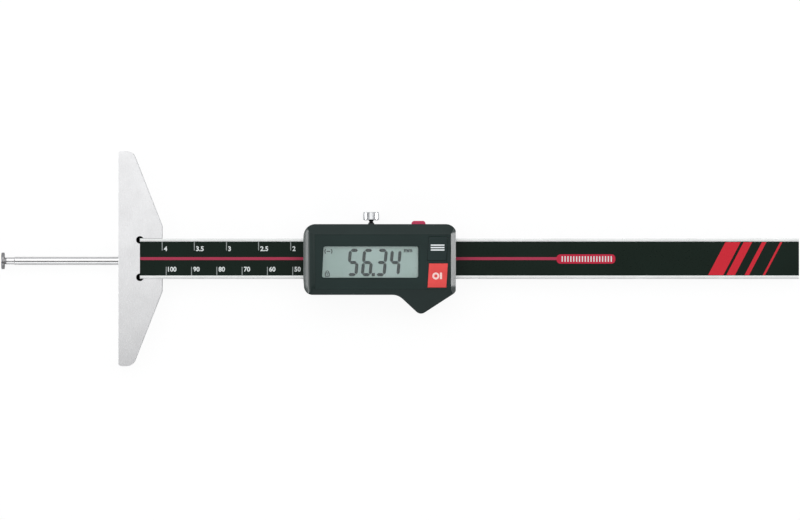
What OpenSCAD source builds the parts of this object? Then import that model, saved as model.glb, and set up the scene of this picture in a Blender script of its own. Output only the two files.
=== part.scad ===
// Digital depth gauge with a round measuring rod and a disc tip.
//
// The gauge lies on its back. X runs along the rail, from the disc tip to the rail's free end.
// Y points to the edge that carries the lock screw, and Z towards the display.
// The origin is the centre of the bridge's measuring face, on the rail's centreline and at the
// height of the rod's axis. All sizes are in millimetres.

/* [Bridge] */
// Length of the measuring face, across the rail
bridge_l = 85; // [76:1:100]
// Width of the bridge, along the rail
bridge_w = 17.2; // [15:0.1:20]
// Thickness of the bridge plate
bridge_t = 8; // [7.4:0.1:9]
// Straight part of the bridge's outer edge
bridge_flat = 26; // [22:0.5:32]
// Width of the bridge at its two tips
bridge_tip_w = 5.6; // [4.5:0.1:7]
// Radius of the sloping corners at the tips
bridge_tip_r = 3.4; // [2:0.1:4]
// Radius of the corners of the measuring face
face_corner_r = 1.2; // [0.5:0.1:2]
// Radius of the blunt corners beside the slot
bridge_mid_r = 1.6; // [0.8:0.1:3]
// Diameter of the relief holes in the slot's corners
relief_d = 3; // [2.4:0.1:3.6]
// Length of the rail that lies in the bridge's slot
slot_l = 8.7; // [7:0.1:10]

/* [Rail] */
// Length of the rail
rail_l = 260.5; // [220:0.5:320]
// Width of the rail
rail_w = 16; // [15:0.1:16.6]
// Thickness of the rail
rail_t = 4; // [3.8:0.1:4.4]
// Width of the ground edge on each side of the scale
rail_edge_w = 1.3; // [1.2:0.1:2]
// Thickness of the circuit strip under the scale
strip_t = 0.6; // [0.4:0.1:0.7]
// Thickness of the printed scale foil
label_t = 0.2; // [0.1:0.05:0.25]
// Depth of the scale's face below the ground edges
label_drop = 0.1; // [0.05:0.01:0.15]

/* [Measuring rod] */
// Diameter of the measuring rod
rod_d = 3.2; // [3:0.1:3.4]
// Distance of the rod's axis below the rail's centreline
rod_offset = 0.9; // [0:0.1:1.5]
// How far the rod stands out behind the rail
rod_proud = 1.15; // [1:0.05:1.3]
// Diameter of the rod's neck behind the disc
neck_d = 2.8; // [2.5:0.1:2.9]
// Length of the rod's neck
neck_l = 3; // [2:0.1:5]
// Diameter of the disc tip
disc_d = 6.6; // [5.5:0.1:7.4]
// Thickness of the disc tip
disc_t = 1.2; // [0.8:0.1:1.6]
// Diameter of the hub behind the disc
hub_d = 2.6; // [2.3:0.1:2.8]
// Length of the hub behind the disc
hub_l = 0.8; // [0.5:0.1:1.2]
// Gap between the measuring face and the disc as the slider stands now
rest_gap = 45.2; // [30:0.1:50]

/* [Slider housing] */
// Length of the housing, along the rail
housing_l = 60.3; // [60:0.1:64]
// Height of the housing above the rail's centreline
housing_top = 13.6; // [13.2:0.1:15]
// Height of the housing below the rail's centreline
housing_bottom = 14.3; // [14:0.1:15.2]
// Wall of the housing
wall_t = 1.4; // [1.2:0.1:1.5]
// Width of the sloping bands along the housing's upper and lower edges
band_w = 4; // [3.6:0.1:4.2]
// Slope of those bands, in degrees
band_angle = 23; // [18:1:26]
// Width of the bevel at the housing's left end
left_bevel_w = 2.6; // [2.4:0.1:3.2]
// Width of the bevel at the housing's right end
right_bevel_w = 2.2; // [2:0.1:2.8]
// Slope of the two end bevels, in degrees
end_angle = 42; // [38:1:50]
// Radius between the left bevel and the front face
end_round = 3.5; // [1:0.5:4]
// Thickness of the steel back cover
cover_t = 1.2; // [1:0.1:1.4]
// How far the thumb grip reaches below the rail's centreline
grip_depth = 22.4; // [20:0.1:25]
// Distance of the thumb grip's tip from the housing's right end
grip_inset = 14.3; // [13:0.1:16]

/* [Window and keys] */
// Distance of the window from the housing's left end
window_x = 7.3; // [6.8:0.1:9]
// Space between the front panel's upper and lower edges and the window
window_margin = 4.8; // [4.4:0.1:6]
// Space between the window and the keys
window_key_space = 3.7; // [3.4:0.1:6]
// Width of a key
key_w = 7.4; // [6.5:0.1:7.8]
// Space between the two keys
key_space = 1.1; // [1:0.1:2]
// Space between the front panel's upper and lower edges and the keys
key_margin = 0.9; // [0.7:0.1:1.5]
// Height of the display's figures
digit_h = 10.8; // [8:0.1:11]
// Width of the display's figures
digit_w = 4.3; // [3.5:0.1:4.6]
// Sideways lean of the keys and of the window's left edge
key_lean = 0.6; // [0:0.1:0.7]
// How far a key stands above the front face
key_proud = 0.25; // [0.1:0.05:0.4]
// Travel of a key
key_travel = 0.35; // [0.2:0.05:0.4]

/* [Lock screw and data button] */
// Diameter of the lock screw's fluted head
knob_d = 6.4; // [5.5:0.1:7.5]
// Height of the lock screw's fluted head
knob_h = 3.2; // [2.6:0.1:4]
// Number of flutes round the head
knob_flutes = 8; // [6:1:10]
// Gap between the head and the housing
knob_gap = 1.6; // [1:0.1:2.5]
// Diameter of the lock screw's shank
lock_d = 2.4; // [2:0.1:2.6]
// Length of the data button, along the housing's top edge
data_l = 5.6; // [4.5:0.1:6]
// How far the data button stands out of the housing
data_proud = 1.3; // [0.8:0.1:1.6]
// Travel of the data button
data_travel = 0.5; // [0.3:0.05:0.5]

/* [Battery] */
// Diameter of the coin cell
cell_d = 20; // [19.6:0.1:20]
// Thickness of the coin cell
cell_t = 3.2; // [2.5:0.1:3.2]
// Free space between the battery tray and the display above it
cell_room = 0.1; // [0.1:0.05:0.6]

/* [Fits] */
// Radial clearance of a shaft or screw in its hole
running_gap = 0.05; // [0.03:0.01:0.08]
// Gap on each side of the rail in the slider
slide_gap = 0.1; // [0.06:0.01:0.12]
// Gap round the keys, the button and the battery door
trim_gap = 0.12; // [0.08:0.01:0.15]
// Gap between parts that only lie beside each other
seat_gap = 0.1; // [0.05:0.01:0.12]

/* [Hidden] */
$fn = 64;
over = 1;        // a cut runs this far past the faces that it opens
far = 60;        // half the length of the profiles that shape the housing
touch_gap = 0.02;      // gap between parts that lie on each other
edge_cut = 0.15;       // small chamfer of turned edges
case_gap = 0.25;       // free space that plastic parts need round a moving or loose one

// Heights through the gauge, from the back upwards
back_z = -bridge_t / 2;
rod_y = -rod_offset;
rail_back = rod_proud - rod_d / 2;
rail_front = rail_back + rail_t;
label_w = rail_w - 2 * rail_edge_w;
label_top = rail_front - label_drop;
strip_top = label_top - label_t;
pocket_z = strip_top - strip_t;
groove_gap = 0.2;                      // free space round the rod in its grooves
groove_w = rod_d + 2 * groove_gap;
groove_top = rod_d / 2 + groove_gap / 2;

relief_floor = 1;                      // the relief holes end this far above the back

// Places along the gauge
rail_x = bridge_w - slot_l;
scale_zero_x = 118.5;                  // the housing's left end stands here when the gauge reads zero
slider_x = scale_zero_x - rest_gap;
rod_tip_x = -rest_gap;                 // the disc's rear face

// The slider's layers
cover_top = back_z + cover_t;
gasket_t = 0.3;
housing_back = cover_top + gasket_t;
web_top = rail_back - slide_gap;
lip_t = 1;
lip_z = rail_front + slide_gap;
lip_top = lip_z + lip_t;
board_z = lip_top + seat_gap;
board_t = 0.8;
board_top = board_z + board_t;
frame_inset = wall_t + seat_gap;
cover_inset = 0.4;
end_gap = 0.35;                        // free space round the rail in the housing's ends
tray_z = board_top + seat_gap;
tray_floor_t = 0.4;
cell_z = tray_z + tray_floor_t;
tray_top = cell_z + cell_t + running_gap;
holder_t = 0.3;
holder_z = tray_top + cell_room;
lcd_t = 1.2;
lcd_z = holder_z + holder_t;
front_wall_z = lcd_z + lcd_t + seat_gap;
front_z = front_wall_z + wall_t;

// The housing's outline seen from the front, counter-clockwise: x, y and corner radius
end_bulge = 0.3;
end_peak = 0.1;
end_turn_y = 8.5;     // between these two heights an end is straight, beyond them it leans in
right_end_y = -13.3;
grip_angle = 43;     // of the grip's left slope
housing_corners = [
    [end_bulge, -housing_bottom, 3.4],
    [housing_l - grip_inset - (grip_depth - housing_bottom) / tan(grip_angle), -housing_bottom, 6],
    [housing_l - grip_inset, -grip_depth, 2.6],
    [housing_l - end_bulge, right_end_y, 2.5],
    [housing_l + end_peak, -end_turn_y, 0],
    [housing_l + end_peak, end_turn_y, 0],
    [housing_l - end_bulge, housing_top, 4.2],
    [end_bulge, housing_top, 4.6],
    [0, end_turn_y, 0],
    [0, -end_turn_y, 0]];
band_top_y = housing_top - band_w;
band_low_y = -housing_bottom + band_w / 2;

// The display window and the keys, in the housing's own x and y
window_top = band_top_y - window_margin;
window_low = band_low_y + window_margin;
window_h = window_top - window_low;
key_edge = 1.85;       // from the key column to the housing's right bevel
key_x = housing_l - right_bevel_w - key_edge - key_w;
window_w = key_x - window_key_space - window_x;
key_h = (band_top_y - band_low_y - key_space) / 2 - key_margin;
menu_top = band_top_y - key_margin;
zero_top = menu_top - key_h - key_space;
foil_t = 0.25;
foil_edge = 0.1;
foil_left = left_bevel_w + 2;
foil_right = housing_l - right_bevel_w - 2.5 * foil_edge;
key_flange = 0.4;
key_flange_t = 0.9;
key_top = front_z + key_proud;
stem_d = 2;
dome_d = 4;
dome_t = 0.3;
dome_z = board_top + touch_gap;
head_inset = 13;       // the reading head starts this far right of the window's left edge
head_gap = 0.4;        // its distance from the rail
wiper_t = 1.2;

// The liquid crystal display behind the window
lcd_ledge = 1.6;       // the glass reaches this far above the window, for its contacts
glass_margin = 0.8;
lcd_margin = 1.4;
leg_w = 1.2;
contact_inset = 1;
segment_w = 1.25;
segment_t = 0.04;
digit_lean = 0.9;
bar_end_gap = 0.09;    // a figure's bar ends this far before the corner
figure_floor = 0.55;   // the figures stand this far above the window's lower edge

// The lock screw and its pad
lock_x = 26.6;
neck_lock_d = 1.5;
frame_top = housing_top - frame_inset;
gib_t = 1.3;
gib_y = rail_w / 2 + running_gap;
gib_gap = 0.25;
gib_seat_y = gib_y + gib_t + gib_gap;
pad_t = 1;
pad_gap = 0.3;
pad_y = gib_y + gib_t + pad_gap;

gib_mid_z = (rail_back + rail_front) / 2;
gib_end_gap = 0.4;
gib_screw_d = 1.8;
gib_screw_inset = 14;

// The data button and its switch
data_inset = 12.2;     // from the button to the housing's right end
data_x = housing_l - data_inset - data_l;
data_w = 3.2;
data_z = board_top + case_gap + data_w / 2;
data_flange = 0.7;
data_rest = 0.25;      // the button's free way to its switch, beyond its travel
data_cut = 0.7;        // slanted corners of the button's end
data_y = housing_top - wall_t - data_flange;     // the button's inner face

// The battery tray
tray_wall = 0.8;
tray_rim = 1.4;
tray_r = cell_d / 2 + running_gap + tray_wall;
seal_t = 0.45;
door_l = 2 * (tray_r + tray_wall);
cell_x = housing_corners[0][2] + end_bulge + trim_gap + door_l / 2;
cell_y = -housing_bottom + wall_t + running_gap + cell_d / 2 + 0.4;
tray_arm_y = cell_y + cell_d / 4;
tray_right = cell_x + door_l / 2;
contact_t = 0.3;

// Screws
cover_screw_d = 1.6;
post_wall = 0.7;
post_r = cover_screw_d / 2 + post_wall;
screw_inset = 4.6;
post_h = 3.4;
screw_top = housing_top - 3;
screw_low = -housing_bottom + 3.1;
screw_spots = [[screw_inset, screw_top], [housing_l - screw_inset, screw_top],
               [tray_right + post_r + trim_gap + case_gap, screw_low],
               [housing_l - grip_inset, screw_low]];
screw_end_gap = 0.3;   // a screw ends this far before the bottom of its hole
rail_screw_d = 2.2;
rail_screw_y = (rod_y + groove_w / 2 + rail_w / 2) / 2;
carrier_l = 10;
carrier_x = housing_l - carrier_l - 5;
carrier_w = 7;
carrier_screw_d = 1.6;
carrier_lug = 3.4;
carrier_lug_t = 1;

// The rod's bore and the stem of the disc that sits in it
stem_r = 0.7;
stem_l = 3;
dish = 0.3;            // depth of the ring sunk in the disc's front
rim_w = 0.7;           // width of the disc's raised rim
rod_cut = 0.3;         // chamfer of the rod's ends

// ---------- outlines with true arcs ----------

function corner(points, i) = points[(i + len(points)) % len(points)];
function flat(p) = [p[0], p[1]];
function heading(a, b) = (flat(b) - flat(a)) / norm(flat(b) - flat(a));
function way_in(points, i) = heading(corner(points, i - 1), corner(points, i));
function way_out(points, i) = heading(corner(points, i), corner(points, i + 1));
function bend(points, i) = cross(way_in(points, i), way_out(points, i));
function left_of(v) = [-v[1], v[0]];

// Distance from a corner to where its arc starts
function reach(points, i) =
    corner(points, i)[2] * tan(acos(way_in(points, i) * way_out(points, i)) / 2);
function arc_start(points, i) = flat(corner(points, i)) - way_in(points, i) * reach(points, i);
function arc_end(points, i) = flat(corner(points, i)) + way_out(points, i) * reach(points, i);
function arc_centre(points, i) =
    arc_start(points, i) + left_of(way_in(points, i)) * corner(points, i)[2] * sign(bend(points, i));

// The same corners with every edge moved inwards by d
function inset_corner(points, i, d) =
    let (a = left_of(way_in(points, i)),
         b = left_of(way_out(points, i)),
         shift = (a + b) * d / (1 + a * b),
         p = corner(points, i))
    [p[0] + shift[0], p[1] + shift[1],
     p[2] == 0 ? 0 : max(p[2] - d * sign(bend(points, i)), 0.3)];
function inset(points, d) = [for (i = [0 : len(points) - 1]) inset_corner(points, i, d)];

module arc_piece(points, i) {
    intersection() {
        polygon([arc_start(points, i), flat(corner(points, i)), arc_end(points, i)]);
        translate(arc_centre(points, i)) circle(corner(points, i)[2]);
    }
}

module outline(points) {
    last = len(points) - 1;
    difference() {
        union() {
            polygon([for (i = [0 : last])
                each corner(points, i)[2] == 0 ? [flat(corner(points, i))]
                                               : [arc_start(points, i), arc_end(points, i)]]);
            for (i = [0 : last])
                if (corner(points, i)[2] > 0 && bend(points, i) > 0) arc_piece(points, i);
        }
        for (i = [0 : last])
            if (corner(points, i)[2] > 0 && bend(points, i) < 0) arc_piece(points, i);
    }
}

// A block between two corners
module block(low, high) {
    translate(low) cube(high - low);
}

// A cylinder between two heights
module post(x, y, r, low, high) {
    translate([x, y, low]) cylinder(r = r, h = high - low);
}

// Turns a shape that points up so that it points along +X or +Y
module along_x() { rotate([0, 90, 0]) children(); }
module along_y() { rotate([-90, 0, 0]) children(); }

// A round piece from a list of radius and height
module turned(profile) { rotate_extrude() polygon(profile); }

// A countersunk screw whose flat head lies at height 0 and whose shank points up
module countersunk(d, length) {
    head_r = d;
    slot = [1.4 * d, 0.24 * d, 0.35 * d];
    difference() {
        turned([[0, 0], [head_r, 0], [head_r, edge_cut], [d / 2, edge_cut + head_r - d / 2],
                [d / 2, length], [0, length]]);
        for (turn = [0, 90])
            rotate(turn) translate([-slot[0] / 2, -slot[1] / 2, -over]) cube(slot + [0, 0, over]);
    }
}

// The hole for such a screw
module countersink(d, length) {
    r = d / 2 + running_gap;
    head_r = d + running_gap;
    cone_z = edge_cut + running_gap;
    turned([[0, -over], [head_r, -over], [head_r, cone_z], [r, cone_z + head_r - r],
            [r, length], [0, length]]);
}

// ---------- bridge and rail ----------

module bridge_outline() {
    outline([[0, -bridge_l / 2, face_corner_r],
             [bridge_tip_w, -bridge_l / 2, bridge_tip_r],
             [bridge_w, -bridge_flat / 2, bridge_mid_r],
             [bridge_w, bridge_flat / 2, bridge_mid_r],
             [bridge_tip_w, bridge_l / 2, bridge_tip_r],
             [0, bridge_l / 2, face_corner_r]]);
}

module rail_screw_places() {
    for (side = [-1, 1])
        translate([rail_x + slot_l / 2, side * rail_screw_y, back_z]) children();
}

module bridge() {
    half = rail_w / 2 + touch_gap;
    relief_y = rail_w / 2 - relief_d / 5;
    color([0.83, 0.83, 0.84]) difference() {
        translate([0, 0, back_z]) linear_extrude(bridge_t) bridge_outline();
        block([rail_x, -half, rail_back], [bridge_w + over, half, -back_z + over]);
        for (side = [-1, 1])
            post(rail_x, side * relief_y, relief_d / 2, back_z + relief_floor, -back_z + over);
        translate([-over, rod_y, 0]) along_x()
            cylinder(r = rod_d / 2 + running_gap, h = bridge_w + 2 * over);
        rail_screw_places() countersink(rail_screw_d, bridge_t);
    }
}

module rail() {
    color([0.86, 0.87, 0.87]) difference() {
        block([rail_x, -rail_w / 2, rail_back], [rail_x + rail_l, rail_w / 2, rail_front]);
        block([rail_x - over, -label_w / 2, pocket_z],
              [rail_x + rail_l + over, label_w / 2, rail_front + over]);
        block([rail_x - over, rod_y - groove_w / 2, rail_back - over],
              [rail_x + rail_l + over, rod_y + groove_w / 2, groove_top]);
        rail_screw_places() post(0, 0, rail_screw_d / 2 + running_gap, 0, bridge_t);
    }
}

module scale_layer(low, high) {
    block([rail_x, -label_w / 2 + seat_gap / 2, low],
          [rail_x + rail_l, label_w / 2 - seat_gap / 2, high]);
}

module scale_strip() {
    color([0.2, 0.35, 0.25]) scale_layer(pocket_z, strip_top);
}

module scale_label() {
    color([0.1, 0.12, 0.12]) scale_layer(strip_top, label_top);
}

module rail_screws() {
    color("silver") rail_screw_places()
        countersunk(rail_screw_d, pocket_z - back_z - screw_end_gap);
}

// ---------- measuring rod and tip ----------

module measuring_rod() {
    start = rod_tip_x + hub_l;
    length = slider_x + carrier_x + carrier_l - start;
    r = rod_d / 2;
    color([0.85, 0.85, 0.86]) translate([start, rod_y, 0]) along_x() difference() {
        turned([[0, 0], [neck_d / 2, 0], [neck_d / 2, neck_l], [r, neck_l + rod_cut],
                [r, length - rod_cut], [r - rod_cut, length], [0, length]]);
        post(0, 0, stem_r + running_gap, -over, stem_l + edge_cut);
    }
}

module disc_tip() {
    r = disc_d / 2;
    hub_r = hub_d / 2;
    back = disc_t + hub_l;
    color([0.6, 0.6, 0.61]) translate([rod_tip_x - disc_t, rod_y, 0]) along_x() turned([
        [0, edge_cut], [hub_r / 2, edge_cut], [hub_r / 2, 0], [hub_r, 0], [hub_r, dish],
        [r - rim_w - edge_cut, dish], [r - rim_w, 0], [r - edge_cut, 0], [r, edge_cut],
        [r, disc_t - edge_cut], [r - edge_cut, disc_t], [hub_r, disc_t], [hub_r, back],
        [stem_r, back], [stem_r, back + stem_l], [0, back + stem_l]]);
}

// ---------- slider: frame, guide and rod fixing ----------

module in_slider() { translate([slider_x, 0, 0]) children(); }

// Prism of the housing's outline moved inwards by d, without the thumb grip
module body_prism(d, low, high) {
    intersection() {
        translate([0, 0, low]) linear_extrude(high - low) outline(inset(housing_corners, d));
        block([-over, d - housing_bottom, low - over],
              [housing_l + over, housing_top + over, high + over]);
    }
}

module carrier_screw_places() {
    for (side = [-1, 1])
        translate([carrier_x + carrier_l / 2, rod_y + side * (carrier_w + carrier_lug) / 2, cover_top])
            children();
}

// The carrier's block and its two lugs. The frame's pocket for it is grown by gap and runs past
// the faces by open
module carrier_shape(gap, open) {
    half = carrier_w / 2 + gap;
    wide = half + carrier_lug;
    block([carrier_x - gap, rod_y - half, cover_top - open],
          [carrier_x + carrier_l + gap, rod_y + half, web_top + open]);
    block([carrier_x - gap, rod_y - wide, cover_top - open],
          [carrier_x + carrier_l + gap, rod_y + wide, cover_top + carrier_lug_t + gap]);
}

module slider_frame() {
    tongue = rail_w / 2 + 2 * slide_gap;
    lip_y = label_w / 2 + 2 * slide_gap;
    color([0.75, 0.75, 0.76]) in_slider() difference() {
        union() {
            body_prism(frame_inset, cover_top, lip_top);
            block([end_bulge, -tongue, cover_top], [housing_l - end_bulge, tongue, web_top]);
        }
        // channel for the rail and, above it, the gib
        block([-over, -rail_w / 2 - slide_gap, web_top], [housing_l + over, gib_seat_y, lip_z]);
        // opening for the reading head
        block([-over, -lip_y, lip_z - over], [housing_l + over, lip_y, lip_top + over]);
        // groove for the rod
        block([-over, rod_y - groove_w / 2, -rod_d / 2 - groove_gap],
              [housing_l + over, rod_y + groove_w / 2, web_top + over]);
        carrier_shape(seat_gap, over);
        carrier_screw_places() post(0, 0, carrier_screw_d / 2 + running_gap, 0, rail_t);
        // lock screw and gib screws, in line with the middle of the rail's edge
        translate([lock_x, gib_y, gib_mid_z]) along_y()
            cylinder(r = lock_d / 2 + running_gap, h = housing_top);
        gib_screw_places() cylinder(r = gib_screw_d / 2 + running_gap, h = housing_top);
        for (spot = screw_spots)
            post(spot[0], spot[1], cover_screw_d / 2 + running_gap, cover_top - over, lip_top + over);
    }
}

module gib_screw_places() {
    for (x = [gib_screw_inset, housing_l - gib_screw_inset])
        translate([x, gib_y + gib_t + running_gap, gib_mid_z]) along_y() children();
}

module gib_strip() {
    color([0.78, 0.57, 0.3]) in_slider()
        block([frame_inset + gib_end_gap, gib_y, rail_back + seat_gap],
              [housing_l - frame_inset - gib_end_gap, gib_y + gib_t, rail_front - seat_gap]);
}

module gib_screws() {
    length = frame_top - gib_y - gib_t - screw_end_gap;
    socket = gib_screw_d * 0.45;
    color("dimgray") in_slider() gib_screw_places() difference() {
        cylinder(d = gib_screw_d, h = length);
        translate([0, 0, length - socket]) cylinder(d = gib_screw_d * 0.55, h = length, $fn = 6);
    }
}

module rod_carrier() {
    color([0.7, 0.7, 0.71]) in_slider() difference() {
        carrier_shape(0, 0);
        translate([carrier_x - over, rod_y, 0]) along_x()
            cylinder(r = rod_d / 2 + touch_gap, h = carrier_l + 2 * over);
        carrier_screw_places() countersink(carrier_screw_d, rail_t);
    }
}

module carrier_screws() {
    color("silver") in_slider() carrier_screw_places()
        countersunk(carrier_screw_d, web_top - cover_top - seat_gap);
}

module back_cover() {
    color([0.78, 0.78, 0.79]) in_slider() difference() {
        body_prism(cover_inset, back_z, cover_top);
        for (spot = screw_spots)
            translate([spot[0], spot[1], back_z]) countersink(cover_screw_d, bridge_t);
    }
}

module cover_gasket() {
    opening = rail_w / 2 + end_gap;
    color([0.15, 0.15, 0.15]) in_slider() difference() {
        body_prism(cover_inset, cover_top, housing_back);
        body_prism(wall_t, cover_top - over, housing_back + over);
        block([-over, -opening, cover_top - over], [housing_l + over, opening, housing_back + over]);
    }
}

module cover_screws() {
    length = board_top + post_h - screw_end_gap - back_z;
    color("silver") in_slider() for (spot = screw_spots)
        translate([spot[0], spot[1], back_z]) countersunk(cover_screw_d, length);
}

// ---------- slider: housing ----------

// The housing's side view: bands slope down from the front face to the upper and lower edges
function band_profile(low) = [
    [-far, low, 0], [far, low, 0],
    [far, front_z - (far - band_top_y) * tan(band_angle), 0], [band_top_y, front_z, 0],
    [band_low_y, front_z, 0], [-far, front_z - (far + band_low_y) * tan(band_angle), 0]];

// The housing's top view: a bevel at each end
function end_profile(low) = [
    [-5, low, 0], [housing_l + 5, low, 0],
    [housing_l + 5, front_z - (5 + right_bevel_w) * tan(end_angle), 0],
    [housing_l - right_bevel_w, front_z, 0], [left_bevel_w, front_z, end_round],
    [-5, front_z - (5 + left_bevel_w) * tan(end_angle), 0]];

module housing_form(d, low) {
    deep = low - 20;
    intersection() {
        translate([0, 0, low]) linear_extrude(front_z - low + 1) outline(inset(housing_corners, d));
        rotate([90, 0, 90]) linear_extrude(2 * far, center = true) outline(inset(band_profile(deep), d));
        translate([0, far, 0]) rotate([90, 0, 0]) linear_extrude(2 * far)
            outline(inset(end_profile(deep), d));
    }
}

// A leaning four-sided opening: the top edge is moved right by lean
module leaning(x, top, w, h, lean_left, lean_right) {
    polygon([[x, top - h], [x + w, top - h], [x + w + lean_right, top], [x + lean_left, top]]);
}

module key_outline(top, gap) {
    x = key_x - gap;
    leaning(x, top + gap, key_w + 2 * gap, key_h + 2 * gap, key_lean, key_lean);
}

module window_outline(gap) {
    leaning(window_x - gap, window_top + gap, window_w + 2 * gap, window_h + 2 * gap, key_lean, 0);
}

module data_opening(gap, low, high) {
    block([data_x - gap, low, data_z - data_w / 2 - gap],
          [data_x + data_l + gap, high, data_z + data_w / 2 + gap]);
}

module foil_area(gap) {
    translate([foil_left - gap, band_low_y + foil_edge - gap])
        square([foil_right - foil_left + 2 * gap, band_top_y - band_low_y + 2 * (gap - foil_edge)]);
}

module housing() {
    opening = rail_w / 2 + end_gap;
    color([0.2, 0.23, 0.23]) in_slider() difference() {
        union() {
            difference() {
                housing_form(0, housing_back);
                intersection() {
                    housing_form(wall_t, housing_back - over);
                    block([0, wall_t - housing_bottom, housing_back - over],
                          [housing_l, housing_top, front_z]);
                }
            }
            intersection() {
                housing_form(wall_t / 2, housing_back - over);
                for (spot = screw_spots) post(spot[0], spot[1], post_r, board_top + seat_gap, front_z);
            }
        }
        // the rail's way through both ends
        block([-over, -opening, housing_back - over],
              [housing_l + over, opening, rail_front + slide_gap]);
        translate([0, 0, front_z - foil_t]) linear_extrude(foil_t + over) foil_area(running_gap);
        translate([0, 0, front_wall_z - over]) linear_extrude(wall_t + 2 * over) {
            window_outline(0);
            key_outline(menu_top, trim_gap);
            key_outline(zero_top, trim_gap);
        }
        translate([lock_x, 0, gib_mid_z]) along_y()
            cylinder(r = lock_d / 2 + 2 * slide_gap, h = housing_top + over);
        data_opening(trim_gap, data_y, housing_top + over);
        tray_door_shape(trim_gap, over);
        for (spot = screw_spots)
            post(spot[0], spot[1], cover_screw_d / 2 + running_gap, board_top - over, board_top + post_h);
    }
}

module front_foil() {
    color([0.16, 0.2, 0.2]) in_slider() translate([0, 0, front_z - foil_t + touch_gap])
        linear_extrude(foil_t - touch_gap) difference() {
            foil_area(0);
            window_outline(0);
            key_outline(menu_top, trim_gap);
            key_outline(zero_top, trim_gap);
        }
}

module window_lens() {
    low = lcd_z + lcd_t + running_gap;
    color([0.7, 0.8, 0.78, 0.4]) in_slider() translate([0, 0, low])
        linear_extrude(front_z - running_gap - low) window_outline(-running_gap);
}

module wiper(x) {
    color([0.12, 0.12, 0.12]) in_slider()
        block([x, -label_w / 2, label_top + running_gap], [x + wiper_t, label_w / 2, board_z - touch_gap]);
}

module wiper_left() { wiper(frame_inset); }
module wiper_right() { wiper(housing_l - frame_inset - wiper_t); }

// ---------- display and electronics ----------

module lcd_block(low, high, margin, ledge) {
    block([window_x - margin, window_low - margin, low],
          [window_x + window_w + margin, window_top + margin + ledge, high]);
}

module lcd_glass() {
    color([0.62, 0.69, 0.66]) in_slider()
        lcd_block(lcd_z, lcd_z + lcd_t - segment_t, glass_margin, lcd_ledge);
}

// Which of the seven bars each figure lights: top, upper left, upper right, middle, lower left,
// lower right, bottom
function bars_of(figure) = [
    [1, 1, 1, 0, 1, 1, 1], [0, 0, 1, 0, 0, 1, 0], [1, 0, 1, 1, 1, 0, 1], [1, 0, 1, 1, 0, 1, 1],
    [0, 1, 1, 1, 0, 1, 0], [1, 1, 0, 1, 0, 1, 1], [1, 1, 0, 1, 1, 1, 1], [1, 0, 1, 0, 0, 1, 0],
    [1, 1, 1, 1, 1, 1, 1], [1, 1, 1, 1, 0, 1, 1]][figure];

// A bar with pointed ends between two points of a figure, a little short of both
module bar(a, b) {
    way = heading(a, b);
    side = left_of(way) * segment_w / 2;
    from = a + way * bar_end_gap;
    to = b - way * bar_end_gap;
    slope = way * segment_w / 2;
    polygon([from, from + slope - side, to - slope - side, to, to - slope + side, from + slope + side]);
}

module figure_bars(figure) {
    half = (digit_h - segment_w) / 2;
    w = digit_w - segment_w;
    low = [0, 0];
    mid = [digit_lean / 2, half];
    high = [digit_lean, 2 * half];
    right = [w, 0];
    lit = bars_of(figure);
    ends = [[high, high + right], [mid, high], [mid + right, high + right], [mid, mid + right],
            [low, mid], [low + right, mid + right], [low, low + right]];
    for (i = [0 : 6]) if (lit[i] == 1) bar(ends[i][0], ends[i][1]);
}

// The figures of the reading, each with its distance from the window's right edge
shown_figures = [[5, 28.2], [6, 22.6], [3, 17.1], [4, 11.65]];
point_place = 18.3;

module lcd_digits() {
    low_y = window_low + figure_floor;
    color([0.25, 0.3, 0.3]) in_slider()
        translate([window_x + window_w, low_y, lcd_z + lcd_t - segment_t]) linear_extrude(segment_t) {
            for (f = shown_figures)
                translate([segment_w / 2 - f[1], segment_w / 2]) figure_bars(f[0]);
            translate([-point_place, 0]) square(segment_w);
        }
}

module lcd_holder() {
    x_leg = window_x + window_w + lcd_margin - leg_w;
    color([0.85, 0.85, 0.82]) in_slider() difference() {
        union() {
            lcd_block(holder_z, lcd_z + lcd_t, lcd_margin, lcd_ledge);
            for (y = [window_low - lcd_margin, window_top + lcd_margin])
                block([x_leg, y, board_top + touch_gap], [x_leg + leg_w, y + leg_w, lcd_z]);
        }
        lcd_block(lcd_z - touch_gap, front_z, glass_margin + running_gap, lcd_ledge);
        lcd_block(holder_z - over, front_z, -glass_margin, 0);
        // the contact strip's way to the display's ledge
        contact_space(seat_gap, holder_z - over, lcd_z);
    }
}

// The contact strip stands beside the battery tray and under the display's ledge
module contact_space(gap, low, high) {
    y = window_top + glass_margin;
    block([tray_right + contact_inset - gap, y - gap, low],
          [window_x + window_w - contact_inset + gap, y + lcd_ledge + gap, high]);
}

module contact_strip() {
    color([0.85, 0.6, 0.55]) in_slider()
        contact_space(0, board_top + touch_gap, lcd_z - touch_gap);
}

module main_board() {
    color([0.1, 0.35, 0.2]) in_slider() difference() {
        body_prism(wall_t + 2 * seat_gap, board_z, board_top);
        for (spot = screw_spots)
            post(spot[0], spot[1], cover_screw_d / 2 + seat_gap, board_z - over, board_top + over);
    }
}

module sensor_board() {
    half = label_w / 2 - running_gap;
    color([0.12, 0.4, 0.25]) in_slider()
        block([window_x + head_inset, -half, rail_front + head_gap],
              [window_x + window_w, half, board_z - touch_gap]);
}

// The chips beside the battery, each with its place from the tray's right side, size and height
chips = [[4, -4.5, 6, 6, 0.9], [12, -6, 5, 7, 1.4], [3, 2.2, 3, 2, 0.6], [8.5, 2, 4, 1.8, 0.8],
         [14.5, 2.2, 2, 1.2, 0.6]];

module board_chips() {
    color([0.13, 0.13, 0.14]) in_slider() for (c = chips)
        translate([tray_right + c[0], c[1], board_top + touch_gap]) cube([c[2], c[3], c[4]]);
}

// Middle of a key
function key_mid(top) = [key_x + (key_w + key_lean) / 2, top - key_h / 2];

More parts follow.
